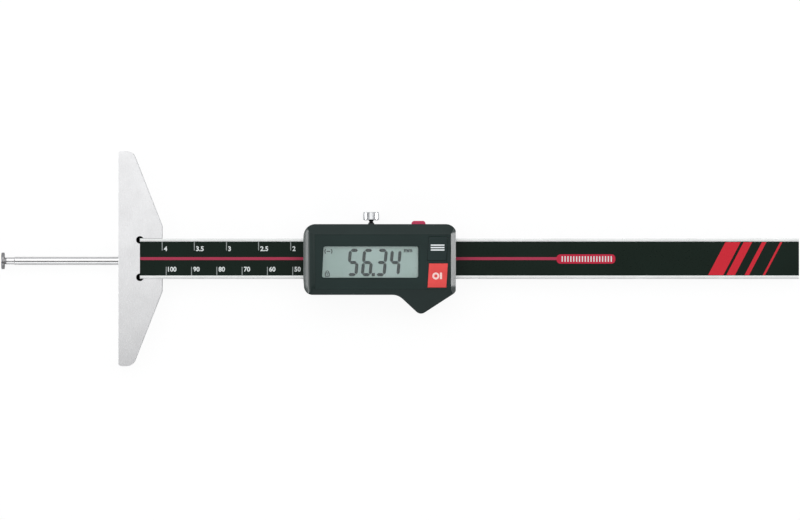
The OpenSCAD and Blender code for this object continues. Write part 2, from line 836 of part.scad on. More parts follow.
module key_domes() {
    color([0.8, 0.78, 0.7]) in_slider() for (top = [menu_top, zero_top])
        translate(key_mid(top)) post(0, 0, dome_d / 2, dome_z, dome_z + dome_t);
}

module data_switch() {
    case = [3.8, 2, 2.6];
    plunger = 0.4;
    plunger_r = 0.7;
    x = data_x + data_l / 2;
    y = data_y - data_travel - data_rest - plunger;
    color([0.3, 0.3, 0.32]) in_slider() {
        translate([x - case[0] / 2, y - case[1], board_top + touch_gap]) cube(case);
        translate([x, y, data_z]) along_y() cylinder(r = plunger_r, h = plunger);
    }
}

// A bent strip that touches the cell's rim
module battery_contact_plus() {
    half = 2;
    foot = 1;
    y = cell_y + cell_d / 2 + seat_gap;
    z = board_top + touch_gap;
    color([0.85, 0.8, 0.6]) in_slider() {
        block([cell_x - half, y, z], [cell_x + half, y + contact_t, cell_z + cell_t / 2]);
        block([cell_x - half, y, z], [cell_x + half, y + foot, z + contact_t]);
    }
}

// A plate with a raised rib that touches the cell's underside
module battery_contact_minus() {
    plate = [3, 6, 0.2];
    rib_w = 1;
    z = board_top + touch_gap;
    color([0.85, 0.8, 0.6]) in_slider() {
        translate([cell_x - plate[0] / 2, cell_y - plate[1] / 2, z]) cube(plate);
        block([cell_x - plate[0] / 2, cell_y - rib_w / 2, z],
              [cell_x + plate[0] / 2, cell_y + rib_w / 2, cell_z - running_gap]);
    }
}

// ---------- battery tray ----------

// The door at the tray's outer end. reach_out lengthens it outwards for cutting
module tray_door_shape(gap, reach_out) {
    block([cell_x - door_l / 2 - gap, -housing_bottom - reach_out, tray_z - gap],
          [cell_x + door_l / 2 + gap, -housing_bottom + wall_t + reach_out, tray_top + gap]);
}

module battery_tray() {
    r = cell_d / 2;
    wall_y = -housing_bottom + wall_t;
    color([0.17, 0.18, 0.18]) in_slider() {
        tray_door_shape(0, 0);
        difference() {
            intersection() {
                union() {
                    post(cell_x, cell_y, tray_r, tray_z, tray_top);
                    block([cell_x - tray_r, wall_y, tray_z], [cell_x + tray_r, cell_y, tray_top]);
                }
                block([0, wall_y, tray_z], [housing_l, tray_arm_y, tray_top]);
            }
            post(cell_x, cell_y, r + running_gap, cell_z - touch_gap, tray_top + over);
            post(cell_x, cell_y, r - tray_rim, tray_z - over, tray_top);
        }
    }
}

// The cell with the step round its smaller pole and rounded rims
module battery_cell() {
    r = cell_d / 2;
    step = [1.6, 0.35];
    rim = 0.25;
    color([0.8, 0.8, 0.82]) in_slider() translate([cell_x, cell_y, cell_z]) turned([
        [0, 0], [r - step[0], 0], [r - step[0], step[1]], [r - rim, step[1]], [r, step[1] + rim],
        [r, cell_t - rim], [r - rim, cell_t], [0, cell_t]]);
}

module tray_seal() {
    y = -housing_bottom + wall_t + touch_gap;
    inner = tray_r + touch_gap;
    color([0.6, 0.15, 0.12]) in_slider() difference() {
        block([cell_x - inner - seal_t, y, tray_z], [cell_x + inner + seal_t, y + seal_t, tray_top]);
        block([cell_x - inner, y - over, tray_z - over], [cell_x + inner, y + over, tray_top + over]);
    }
}

// ---------- keys, button and lock screw ----------

module key_cap(top) {
    mid = key_mid(top);
    flange_top = front_wall_z - seat_gap;
    flange_low = flange_top - key_flange_t;
    stem_low = dome_z + dome_t + key_travel + running_gap;
    in_slider() {
        translate([0, 0, flange_low]) linear_extrude(key_top - flange_low) key_outline(top, 0);
        // the flange on the left and below, clear of the screw post above the keys
        block([key_x - key_flange, top - key_h - key_flange, flange_low],
              [key_x + key_w - key_flange, top - key_flange, flange_top]);
        post(mid[0], mid[1], stem_d / 2, stem_low, flange_low);
    }
}

module menu_key() { color([0.2, 0.25, 0.25]) key_cap(menu_top); }
module zero_key() { color([0.85, 0.25, 0.27]) key_cap(zero_top); }

module data_button() {
    right = data_x + data_l;
    outer = housing_top + data_proud;
    low = data_z - data_w / 2;
    color([0.75, 0.25, 0.35]) in_slider() {
        translate([0, 0, low]) linear_extrude(data_w) polygon([
            [data_x, data_y], [right, data_y], [right, outer - data_cut], [right - data_cut, outer],
            [data_x + data_cut, outer], [data_x, outer - data_cut]]);
        block([data_x - data_flange, data_y, low],
              [right + data_flange, housing_top - wall_t - running_gap, low + data_w + 2 * trim_gap]);
    }
}

module lock_screw() {
    r = knob_d / 2;
    shank_r = lock_d / 2;
    neck_r = neck_lock_d / 2;
    low = pad_y + pad_t;
    head = housing_top + knob_gap;
    end = head + knob_h;
    cut = 2 * edge_cut;
    flute_r = 0.7;
    color([0.85, 0.85, 0.86]) in_slider() translate([lock_x, 0, gib_mid_z]) along_y() difference() {
        turned([[0, low], [shank_r - edge_cut, low], [shank_r, low + edge_cut],
                [shank_r, head - 4 * cut], [neck_r, head - 2.5 * cut], [neck_r, head - 1.5 * cut],
                [shank_r, head], [r - cut, head], [r, head + cut], [r, end - cut], [r - cut, end],
                [0, end]]);
        for (i = [0 : knob_flutes - 1])
            rotate((i + 0.5) * 360 / knob_flutes)
                post(r + cut, 0, flute_r, head - touch_gap, end + over);
    }
}

module clamp_pad() {
    color([0.8, 0.65, 0.3]) in_slider() translate([lock_x, pad_y, gib_mid_z]) along_y()
        cylinder(r = lock_d / 2, h = pad_t - touch_gap);
}

bridge();
rail();
scale_strip();
scale_label();
rail_screws();
measuring_rod();
disc_tip();
rod_carrier();
carrier_screws();
slider_frame();
gib_strip();
gib_screws();
back_cover();
cover_gasket();
cover_screws();
housing();
front_foil();
window_lens();
wiper_left();
wiper_right();
lcd_glass();
lcd_digits();
lcd_holder();
contact_strip();
main_board();
sensor_board();
board_chips();
key_domes();
data_switch();
battery_contact_plus();
battery_contact_minus();
battery_tray();
battery_cell();
tray_seal();
menu_key();
zero_key();
data_button();
lock_screw();
clamp_pad();
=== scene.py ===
"""A digital depth gauge: a steel bridge on a flat scale rail, a slider with a display, and a
round measuring rod with a disc tip. It lies on a pale table and is seen from straight above."""
import math

import bmesh
import bpy
from mathutils import Matrix, Vector


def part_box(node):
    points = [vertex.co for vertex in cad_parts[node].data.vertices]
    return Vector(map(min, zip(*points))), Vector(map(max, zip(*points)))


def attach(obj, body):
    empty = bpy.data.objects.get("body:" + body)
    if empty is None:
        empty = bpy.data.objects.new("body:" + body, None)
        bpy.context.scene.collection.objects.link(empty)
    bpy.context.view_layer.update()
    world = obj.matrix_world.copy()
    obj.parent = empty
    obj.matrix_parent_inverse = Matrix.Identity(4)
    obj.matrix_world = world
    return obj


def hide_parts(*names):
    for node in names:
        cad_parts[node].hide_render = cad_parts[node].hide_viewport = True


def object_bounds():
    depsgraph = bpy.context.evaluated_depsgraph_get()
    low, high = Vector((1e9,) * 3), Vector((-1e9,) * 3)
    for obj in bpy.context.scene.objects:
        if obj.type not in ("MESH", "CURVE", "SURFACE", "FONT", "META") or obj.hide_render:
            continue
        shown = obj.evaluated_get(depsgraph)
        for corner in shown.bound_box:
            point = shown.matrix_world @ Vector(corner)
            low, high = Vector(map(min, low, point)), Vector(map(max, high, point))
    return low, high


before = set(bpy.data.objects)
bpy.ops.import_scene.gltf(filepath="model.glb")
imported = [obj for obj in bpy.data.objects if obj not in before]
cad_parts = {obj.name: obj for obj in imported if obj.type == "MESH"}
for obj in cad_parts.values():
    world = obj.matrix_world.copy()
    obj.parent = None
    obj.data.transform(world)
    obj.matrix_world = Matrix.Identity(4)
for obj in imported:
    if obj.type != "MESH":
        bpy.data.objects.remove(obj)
cad_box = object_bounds()
mm = 0.001

# ---------------------------------------------------------------------------------------------
# Rail: the gauge's spine, a flat bar of hardened stainless steel. It is ground along its length,
# its long edges are broken by hand, and two screws hold it in the bridge's slot from behind.


def shade_of(red, green, blue):
    """A colour given as a screen shows it, from 0 to 255, in the shader's linear values."""
    return [(v / 255 / 12.92 if v <= 10 else ((v / 255 + 0.055) / 1.055) ** 2.4)
            for v in (red, green, blue)] + [1.0]


def tinted(colour, share):
    """The colour made darker or lighter by that share, and no lighter than white."""
    return [min(1, v * share) for v in colour[:3]] + [1]


def finish(name, base, roughness, metal=0.0, shine=0.5):
    """A plain coat of one colour; the grain, stain and relief functions give it its detail."""
    coat = bpy.data.materials.new(name)
    coat.use_nodes = True
    shader = coat.node_tree.nodes["Principled BSDF"]
    shader.inputs["Base Color"].default_value = base
    shader.inputs["Roughness"].default_value = roughness
    shader.inputs["Metallic"].default_value = metal
    shader.inputs["Specular IOR Level"].default_value = shine
    return coat


def grain(coat, size, stretch=(1, 1, 1), detail=3.0):
    """A noise through the piece, with grains of that size, drawn out along the axes by stretch."""
    nodes, links = coat.node_tree.nodes, coat.node_tree.links
    place = nodes.new("ShaderNodeTexCoord")
    mapping = nodes.new("ShaderNodeMapping")
    mapping.inputs["Scale"].default_value = [1 / (size * s) for s in stretch]
    links.new(place.outputs["Object"], mapping.inputs["Vector"])
    noise = nodes.new("ShaderNodeTexNoise")
    noise.inputs["Scale"].default_value = 1.0
    noise.inputs["Detail"].default_value = detail
    links.new(mapping.outputs["Vector"], noise.inputs["Vector"])
    return noise.outputs["Fac"]


def spread(coat, pattern, low, high):
    """The pattern's middle range, stretched to run from low to high."""
    nodes, links = coat.node_tree.nodes, coat.node_tree.links
    run = nodes.new("ShaderNodeMapRange")
    run.inputs["From Min"].default_value = 0.3
    run.inputs["From Max"].default_value = 0.7
    run.inputs["To Min"].default_value = low
    run.inputs["To Max"].default_value = high
    links.new(pattern, run.inputs["Value"])
    return run.outputs["Result"]


def stain(coat, pattern, dark, light):
    """Colours the coat from dark to light by the pattern."""
    nodes, links = coat.node_tree.nodes, coat.node_tree.links
    blend = nodes.new("ShaderNodeMix")
    blend.data_type = "RGBA"
    blend.inputs["A"].default_value = dark
    blend.inputs["B"].default_value = light
    links.new(spread(coat, pattern, 0, 1), blend.inputs["Factor"])
    links.new(blend.outputs["Result"], nodes["Principled BSDF"].inputs["Base Color"])


def gloss(coat, pattern, low, high):
    """Lets the roughness run from low to high by the pattern."""
    shader = coat.node_tree.nodes["Principled BSDF"]
    coat.node_tree.links.new(spread(coat, pattern, low, high), shader.inputs["Roughness"])


def relief(coat, pattern, depth):
    """Raises the surface by the pattern, up to depth in metres."""
    nodes, links = coat.node_tree.nodes, coat.node_tree.links
    bump = nodes.new("ShaderNodeBump")
    bump.inputs["Distance"].default_value = depth
    links.new(pattern, bump.inputs["Height"])
    links.new(bump.outputs["Normal"], nodes["Principled BSDF"].inputs["Normal"])


def ground(name, base, roughness, lay, depth=0.4e-6):
    """Ground or drawn steel: fine lines along lay and faint clouds from handling."""
    coat = finish(name, base, roughness, metal=1.0)
    lines = grain(coat, 0.06 * mm, lay, 2.0)
    clouds = grain(coat, 9 * mm, (1, 1, 1), 4.0)
    stain(coat, clouds, tinted(base, 0.94), tinted(base, 1.03))
    gloss(coat, lines, roughness * 0.85, roughness * 1.2)
    relief(coat, lines, depth)
    return coat


def copy_of(node):
    """A CAD node's shape with its loose triangles merged and its flat faces made whole."""
    shape = bmesh.new()
    shape.from_mesh(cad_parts[node].data)
    bmesh.ops.remove_doubles(shape, verts=shape.verts, dist=0.0001 * mm)
    bmesh.ops.dissolve_limit(shape, angle_limit=math.radians(0.5), verts=shape.verts, edges=shape.edges)
    return shape


def soften(shape, width, least_angle=30, segments=2, where=lambda edge: True):
    """Breaks the sharp edges with a small round."""
    edges = [e for e in shape.edges
             if e.calc_face_angle(0) > math.radians(least_angle) and where(e)]
    bmesh.ops.bevel(shape, geom=edges, offset=width, offset_type="OFFSET", affect="EDGES",
                    segments=segments, profile=0.5, material=-1, clamp_overlap=True)


def piece(shape, name, coat, smooth_angle=35):
    """Makes the shape an object with that coat, smooth but for its sharp edges."""
    for edge in shape.edges:
        edge.smooth = edge.calc_face_angle(0) < math.radians(smooth_angle)
    for face in shape.faces:
        face.smooth = True
    mesh = bpy.data.meshes.new(name)
    shape.to_mesh(mesh)
    shape.free()
    mesh.materials.append(coat)
    made = bpy.data.objects.new(name, mesh)
    bpy.context.scene.collection.objects.link(made)
    made.modifiers.new("flat_faces", "WEIGHTED_NORMAL").keep_sharp = True
    return made


rail_steel = ground("ground_steel", shade_of(238, 240, 239), 0.3, (60, 1, 1))
long_edge = 10 * mm
shape = copy_of("rail")
soften(shape, 0.15 * mm, where=lambda e: abs((e.verts[0].co - e.verts[1].co).x) > long_edge)
rail_bar = piece(shape, "rail_bar", rail_steel)
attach(rail_bar, "rail_and_bridge")
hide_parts("rail")


# ---------------------------------------------------------------------------------------------
# Scale strip: the circuit strip of the measuring system, bonded into the rail's front pocket.
# Its copper windings follow each other along the rail under the scale foil.


def dress(node, coat):
    """Gives a CAD node its coat."""
    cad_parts[node].material_slots[0].material = coat


def circuit_green(name, base):
    """Solder resist over copper tracks: straight tracks show as a slightly raised net."""
    coat = finish(name, base, 0.4)
    nodes, links = coat.node_tree.nodes, coat.node_tree.links
    place = nodes.new("ShaderNodeTexCoord")
    tracks = nodes.new("ShaderNodeTexBrick")
    tracks.inputs["Scale"].default_value = 1 / (2.2 * mm)
    tracks.inputs["Mortar Size"].default_value = 0.06
    tracks.inputs["Brick Width"].default_value = 1.3
    tracks.inputs["Row Height"].default_value = 0.4
    tracks.inputs["Color1"].default_value = base
    tracks.inputs["Color2"].default_value = tinted(base, 0.8)
    tracks.inputs["Mortar"].default_value = tinted(base, 1.8)
    links.new(place.outputs["Object"], tracks.inputs["Vector"])
    links.new(tracks.outputs["Color"], nodes["Principled BSDF"].inputs["Base Color"])
    relief(coat, tracks.outputs["Fac"], 0.02 * mm)
    return coat


board_green = circuit_green("circuit_board", shade_of(24, 84, 52))
dress("scale_strip", board_green)


# ---------------------------------------------------------------------------------------------
# Scale foil: black matt polyester over the strip, printed in white, grey and red. Millimetres
# run along the lower edge and inches along the upper one, and both count towards the bridge.

label_low, label_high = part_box("scale_label")
label_black = finish("scale_black", shade_of(9, 26, 18), 0.3, shine=0.14)
stain(label_black, grain(label_black, 14 * mm), shade_of(8, 24, 16), shade_of(11, 28, 20))
gloss(label_black, grain(label_black, 0.5 * mm), 0.26, 0.34)
relief(label_black, grain(label_black, 0.12 * mm), 0.0003 * mm)
dress("scale_label", label_black)


def print_ink(name, base):
    """Screen-printed ink: nearly even, with a faint mesh and slightly uneven cover."""
    coat = finish(name, base, 0.5, shine=0.3)
    stain(coat, grain(coat, 0.3 * mm), tinted(base, 0.88), base)
    relief(coat, grain(coat, 0.08 * mm), 0.001 * mm)
    return coat


def bar(shape, left, right, low, high, bottom, top):
    """Adds a block between these limits."""
    size = Vector((right - left, high - low, top - bottom))
    middle = Vector(((right + left) / 2, (high + low) / 2, (top + bottom) / 2))
    bmesh.ops.create_cube(shape, size=1,
                          matrix=Matrix.Translation(middle) @ Matrix.Diagonal(size).to_4x4())


def figures(shape, text, height, left, low, bottom, top, bold=0.0, stretch=1.0):
    """Adds a line of figures, left-aligned, with their feet on low."""
    capital = 0.729  # the height of this typeface's figures at size 1
    curve = bpy.data.curves.new("figures", "FONT")
    curve.body = text
    curve.size = 1.0
    curve.offset = bold
    curve.extrude = 0.5
    curve.resolution_u = 4
    written = bpy.data.objects.new("figures", curve)
    bpy.context.scene.collection.objects.link(written)
    bpy.context.view_layer.update()
    shaped = written.evaluated_get(bpy.context.evaluated_depsgraph_get())
    mesh = bpy.data.meshes.new_from_object(shaped)
    grow = height / capital
    start = min(v.co.x for v in mesh.vertices) * grow * stretch
    mesh.transform(Matrix.Translation((left - start, low, (bottom + top) / 2))
                   @ Matrix.Diagonal((grow * stretch, grow, top - bottom, 1)))
    shape.from_mesh(mesh)
    bpy.data.objects.remove(written)
    bpy.data.curves.remove(curve)
    bpy.data.meshes.remove(mesh)


ink_t = 0.012 * mm
print_low = label_high.z
print_high = label_high.z + ink_t
scale_zero = 118.9 * mm
inch = 25.4 * mm
tick_w = 0.32 * mm
tick_l = 3.4 * mm
tick_room = 0.02 * mm
figure_gap = 0.68 * mm
figure_h = 1.85 * mm
figure_bold = 0.03
mm_figure_y = label_low.y + 1.6 * mm
inch_figure_y = label_high.y - tick_l - 0.2 * mm

white_ink = print_ink("scale_white", shade_of(222, 227, 225))
ticks = bmesh.new()
numbers = bmesh.new()
for value in range(0, 101, 10):
    x = scale_zero - value * mm
    bar(ticks, x - tick_w / 2, x + tick_w / 2, label_low.y + tick_room, label_low.y + tick_l,
        print_low, print_high)
    figures(numbers, str(value), figure_h, x + figure_gap, mm_figure_y,
            print_low, print_high, bold=figure_bold)
for half in range(0, 9):
    x = scale_zero - half / 2 * inch
    bar(ticks, x - tick_w / 2, x + tick_w / 2, label_high.y - tick_l, label_high.y - tick_room,
        print_low, print_high)
    figures(numbers, f"{half / 2:g}", figure_h, x + figure_gap, inch_figure_y,
            print_low, print_high, bold=figure_bold, stretch=1.04 if half % 2 else 1)
grey_ink = print_ink("scale_grey", shade_of(150, 156, 154))
for shape, name, coat in ((ticks, "scale_ticks", grey_ink), (numbers, "scale_numbers", white_ink)):
    printed = piece(shape, name, coat)
    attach(printed, "rail_and_bridge")

line_w = 1.15 * mm
line_end = 173.2 * mm
red_ink = print_ink("scale_red", shade_of(172, 47, 77))
shape = bmesh.new()
bar(shape, label_low.x + tick_room, line_end, -line_w / 2, line_w / 2, print_low, print_high)
red_line = piece(shape, "red_line", red_ink)
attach(red_line, "rail_and_bridge")

badge_l = 23.2 * mm
badge_w = 3.7 * mm
badge_r = 1.5 * mm
badge_y = -0.15 * mm
shape = bmesh.new()
bar(shape, line_end, line_end + badge_l, badge_y - badge_w / 2, badge_y + badge_w / 2,
    print_low, print_high)
corners = [e for e in shape.edges if abs(e.verts[0].co.z - e.verts[1].co.z) > ink_t / 2]
bmesh.ops.bevel(shape, geom=corners, offset=badge_r, affect="EDGES",
                segments=6, profile=0.5, material=-1)
badge = piece(shape, "red_badge", print_ink("badge_red", shade_of(188, 22, 56)))
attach(badge, "rail_and_bridge")

stroke_w = 0.45 * mm
stroke_h = 2.2 * mm
stroke_pitch = 1.14 * mm
first_stroke = line_end + 2 * mm
shape = bmesh.new()
for i in range(18):
    x = first_stroke + i * stroke_pitch
    bar(shape, x, x + stroke_w, badge_y - stroke_h / 2, badge_y + stroke_h / 2,
        print_high, print_high + ink_t)
strokes = piece(shape, "badge_strokes", white_ink)
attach(strokes, "rail_and_bridge")

stripe_red = print_ink("stripe_red", shade_of(204, 24, 44))
stripes_start = 233 * mm
stripe_pitch = 7.2 * mm
stripe_widths = (6 * mm, 3.4 * mm, 1.8 * mm, 0.9 * mm)
stripe_lean = 7 * mm
stripe_room = 0.1 * mm
shape = bmesh.new()
for i, width in enumerate(stripe_widths):
    x = stripes_start + i * stripe_pitch
    block = bmesh.new()
    bar(block, x, x + width, label_low.y + stripe_room, label_high.y - stripe_room,
        print_low, print_high)
    for v in block.verts:
        v.co.x += (v.co.y - label_low.y) / (label_high.y - label_low.y) * stripe_lean
    mesh = bpy.data.meshes.new("stripe")
    block.to_mesh(mesh)
    shape.from_mesh(mesh)
    block.free()
    bpy.data.meshes.remove(mesh)
stripes = piece(shape, "red_stripes", stripe_red)
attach(stripes, "rail_and_bridge")


# ---------------------------------------------------------------------------------------------
# Bridge: the beam that rests on the workpiece, milled from stainless steel. Its measuring face
# is lapped, its flats are satin ground, and two relief holes clear the corners of the rail's slot.

bridge_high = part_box("bridge")[1]
bridge_steel = ground("satin_steel", shade_of(238, 238, 239), 0.3, (1, 30, 1), depth=0.15e-6)
# A near-black coat for the relief holes' walls and floors: painted shade for the dark inside the deep
# holes.
hole_painted_shade = finish("hole_shade_black", shade_of(26, 27, 27), 0.7, shine=0.2)
stain(hole_painted_shade, grain(hole_painted_shade, 0.6 * mm), shade_of(20, 21, 21), shade_of(36, 37, 37))
relief(hole_painted_shade, grain(hole_painted_shade, 0.1 * mm), 0.005 * mm)
relief_r = 1.52 * mm
relief_places = [Vector((8.5 * mm, side * 7.4 * mm)) for side in (-1, 1)]
slot_x, slot_y = 6.5 * mm, 9.3 * mm
far_x = 14 * mm
shape = copy_of("bridge")


def in_slot(point):
    """True where the point lies on the rail's slot or its relief holes."""
    return point.x > slot_x and abs(point.y) < slot_y


soften(shape, 0.3 * mm, least_angle=40, segments=1,
       where=lambda e: all(v.co.z > bridge_high.z - 0.01 * mm for v in e.verts)
       and not all(in_slot(v.co) for v in e.verts)
       and not all(v.co.x > far_x for v in e.verts))
bridge = piece(shape, "bridge_beam", bridge_steel)
# The faces inside the relief holes take the painted shade coat.
bridge.data.materials.append(hole_painted_shade)
for face in bridge.data.polygons:
    for relief_at in relief_places:
        if (face.center.xy - relief_at).length < relief_r and face.center.z < bridge_high.z - 0.1 * mm:
            face.material_index = 1
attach(bridge, "rail_and_bridge")
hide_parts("bridge")


# ---------------------------------------------------------------------------------------------
# Rail screws: two countersunk screws, put in from the back of the bridge. Their nickel coat is
# a little uneven in the recesses.

screw_steel = finish("screw_steel", shade_of(196, 196, 198), 0.28, metal=1.0)
stain(screw_steel, grain(screw_steel, 1.2 * mm), shade_of(176, 176, 178), shade_of(204, 204, 206))
gloss(screw_steel, grain(screw_steel, 0.3 * mm), 0.22, 0.36)
relief(screw_steel, grain(screw_steel, 0.15 * mm), 0.002 * mm)
dress("rail_screws", screw_steel)


# ---------------------------------------------------------------------------------------------
# Measuring rod: a round rod of hardened steel, ground and polished along its length. It runs
# through the bridge and along the groove in the rail's back, and the slider carries it.

rod_steel = ground("rod_steel", shade_of(232, 231, 231), 0.16, (80, 1, 1), depth=0.2e-6)
dress("measuring_rod", rod_steel)


# ---------------------------------------------------------------------------------------------
# Disc tip: a small flat disc with a hub, turned from hardened steel and pressed into the rod's
# end. It is darker than the rod, with fine turning marks round its axis.

tip_steel = ground("tip_steel", shade_of(150, 149, 150), 0.3, (1, 12, 12), depth=0.5e-6)
shape = copy_of("disc_tip")
soften(shape, 0.06 * mm, least_angle=25)
tip = piece(shape, "tip_disc", tip_steel)
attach(tip, "slider")
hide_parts("disc_tip")


# ---------------------------------------------------------------------------------------------
# Slider frame: the machined steel plate that guides the slider on the rail. It carries every
# other part of the slider. Cutter marks run along it.

frame_steel = ground("frame_steel", shade_of(205, 206, 208), 0.34, (20, 1, 1), depth=0.8e-6)
dress("slider_frame", frame_steel)


# ---------------------------------------------------------------------------------------------
# Gib strip: a flat spring-bronze strip beside the rail's upper edge. It takes up the play, and
# its rolled surface has dulled a little.

bronze = finish("bronze", shade_of(214, 172, 112), 0.36, metal=1.0)
stain(bronze, grain(bronze, 3 * mm, (6, 1, 1)), shade_of(190, 142, 88), shade_of(222, 184, 128))
gloss(bronze, grain(bronze, 0.4 * mm), 0.3, 0.45)
relief(bronze, grain(bronze, 0.08 * mm, (40, 1, 1)), 0.001 * mm)
dress("gib_strip", bronze)


# ---------------------------------------------------------------------------------------------
# Gib screws: two blackened set screws with hexagon sockets. They press the gib to the rail and
# take up the play, and their black is a little worn where the key turns them.

black_steel = finish("black_steel", shade_of(42, 42, 44), 0.4, metal=0.6)
stain(black_steel, grain(black_steel, 0.8 * mm), shade_of(34, 34, 36), shade_of(52, 52, 54))
gloss(black_steel, grain(black_steel, 0.3 * mm), 0.34, 0.5)
relief(black_steel, grain(black_steel, 0.1 * mm), 0.002 * mm)
dress("gib_screws", black_steel)


# ---------------------------------------------------------------------------------------------
# Rod carrier: the steel block that is bonded round the rod's end, with a lug and a screw on
# each side. The same steel as the frame.

dress("rod_carrier", frame_steel)
dress("carrier_screws", screw_steel)


# ---------------------------------------------------------------------------------------------
# Back cover: a brushed stainless plate that closes the slider from behind, with four screws
# sunk flush. Its edge is broken all round.

cover_steel = ground("cover_steel", shade_of(208, 209, 211), 0.36, (50, 1, 1), depth=0.7e-6)
shape = copy_of("back_cover")
soften(shape, 0.15 * mm, least_angle=50)
cover = piece(shape, "cover_plate", cover_steel)
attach(cover, "slider")
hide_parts("back_cover")
dress("cover_screws", screw_steel)


# ---------------------------------------------------------------------------------------------
# Cover gasket: a thin band of soft black rubber between the cover and the housing's rim. It
# keeps coolant and dust away from the electronics.

black_rubber = finish("black_rubber", shade_of(30, 30, 31), 0.65, shine=0.3)
stain(black_rubber, grain(black_rubber, 1.5 * mm), shade_of(26, 26, 27), shade_of(38, 38, 39))
gloss(black_rubber, grain(black_rubber, 0.4 * mm), 0.58, 0.75)
relief(black_rubber, grain(black_rubber, 0.12 * mm), 0.01 * mm)
dress("cover_gasket", black_rubber)


# ---------------------------------------------------------------------------------------------
# Housing: the moulded shell of the slider, glass-filled plastic with a fine matt skin. Its ends
# slope and fall away at the corners, and the thumb grip grows out of its lower side.


def moulded(name, base, roughness=0.36, skin=0.002 * mm):
    """Moulded plastic with a fine spark-eroded skin and faint flow marks."""
    coat = finish(name, base, roughness, shine=0.2)
    stain(coat, grain(coat, 7 * mm, (2, 1, 1)), tinted(base, 0.9), tinted(base, 1.1))
    gloss(coat, grain(coat, 0.6 * mm), roughness * 0.9, roughness * 1.12)
    relief(coat, grain(coat, 0.07 * mm, (1, 1, 1), 2.0), skin)
    return coat


housing_low, housing_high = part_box("housing")
housing_plastic = moulded("housing_plastic", shade_of(29, 42, 40))
shape = copy_of("housing")
front_only_z = 9.3 * mm
grip_y = -14.5 * mm
corner_y = 10.4 * mm
corner_reach = 3.6 * mm
corner_slope = 0.7
edge_reach = 1.1 * mm
edge_drop = 0.3 * mm
swell = 0.25 * mm
swell_half_w = 11 * mm


def fall(point):
    """How far a point of the front sinks: the ends' corners fall away, and so does the left edge."""
    from_left = point.x - housing_low.x
    inwards = min(from_left, housing_high.x - point.x)
    if point.z < front_only_z or inwards > corner_reach or point.y < grip_y:
        return 0
    corner = max(0, abs(point.y) - corner_y) * corner_slope * (1 - inwards / corner_reach) ** 3
    return corner + edge_drop * max(0, 1 - from_left / edge_reach) ** 2


along = Vector((1, 0, 0))
across = Vector((0, 1, 0))
cuts = [(along, housing_low.x + edge_reach * i / 3) for i in (1, 2, 3)]
cuts += [(along, housing_low.x + corner_reach), (along, housing_high.x - corner_reach),
         (across, corner_y), (across, -corner_y)]
for direction, distance in cuts:
    bmesh.ops.bisect_plane(shape, geom=shape.verts[:] + shape.edges[:] + shape.faces[:],
                           dist=0.001 * mm, plane_co=direction * distance, plane_no=direction)
bmesh.ops.remove_doubles(shape, verts=shape.verts, dist=0.02 * mm)
bmesh.ops.triangulate(shape, faces=[f for f in shape.faces if any(fall(v.co) > 0 for v in f.verts)])
for v in shape.verts:
    v.co.z -= fall(v.co)
    from_left = v.co.x - housing_low.x
    if from_left < edge_reach:
        v.co.x -= swell * (1 - from_left / edge_reach) * max(0, 1 - (v.co.y / swell_half_w) ** 2)
shell = piece(shape, "housing_shell", housing_plastic, smooth_angle=32)
end_polish = finish("end_polish", shade_of(32, 45, 43), 0.3, shine=0.7)
stain(end_polish, grain(end_polish, 7 * mm), shade_of(30, 43, 41), shade_of(34, 47, 45))
gloss(end_polish, grain(end_polish, 4 * mm), 0.29, 0.31)
relief(end_polish, grain(end_polish, 0.07 * mm), 0.0004 * mm)
shell.data.materials.append(end_polish)
for face in shell.data.polygons:
    slopes_at_an_end = abs(face.normal.x) > 0.45 and face.normal.z > 0.1
    if slopes_at_an_end:
        face.material_index = 1
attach(shell, "slider")
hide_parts("housing")


# ---------------------------------------------------------------------------------------------
# Front foil: a smooth dark panel round the window and the keys, set into a recess of the
# housing. Its window corners are round, and its own edge is cut sharp.


def upright(edge):
    """True for an edge that stands straight up."""
    run = edge.verts[0].co - edge.verts[1].co
    return abs(run.x) < 0.01 * mm and abs(run.y) < 0.01 * mm


window_low, window_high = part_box("window_lens")
window_r = 0.7 * mm


def in_window(point):
    """True where the point lies on the window's opening or within it, near the front face."""
    return (window_low.x - mm < point.x < window_high.x + mm and point.z > window_low.z - 0.1 * mm
            and window_low.y - mm < point.y < window_high.y + mm)


foil_dark = moulded("foil", shade_of(25, 41, 39), roughness=0.2, skin=0.0004 * mm)
shape = copy_of("front_foil")
soften(shape, window_r, segments=4,
       where=lambda e: upright(e) and all(in_window(v.co) for v in e.verts))
foil = piece(shape, "front_panel", foil_dark)
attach(foil, "slider")
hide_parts("front_foil")


# ---------------------------------------------------------------------------------------------
# Window: a clear pane of scratch-resistant plastic over the display, flush with the foil.

lens_clear = finish("lens", (0.96, 0.985, 0.975, 1), 0.03)
shader = lens_clear.node_tree.nodes["Principled BSDF"]
shader.inputs["Transmission Weight"].default_value = 1.0
shader.inputs["IOR"].default_value = 1.49
gloss(lens_clear, grain(lens_clear, 6 * mm), 0.008, 0.012)
relief(lens_clear, grain(lens_clear, 12 * mm), 0.001 * mm)
shape = copy_of("window_lens")
soften(shape, window_r, where=upright, segments=4)
lens = piece(shape, "window_pane", lens_clear)
lens.visible_shadow = False
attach(lens, "slider")
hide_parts("window_lens")


# ---------------------------------------------------------------------------------------------
# Wipers: two strips of soft rubber that sweep the scale under the slider's ends. They are cut
# from the gasket's rubber and keep chips away from the reading head.

dress("wiper_left", black_rubber)
dress("wiper_right", black_rubber)


# ---------------------------------------------------------------------------------------------
# Display: a liquid crystal glass with a grey-green back. The reading's bars are dark, and small
# signs for the data link, the lock and the unit stand beside it.

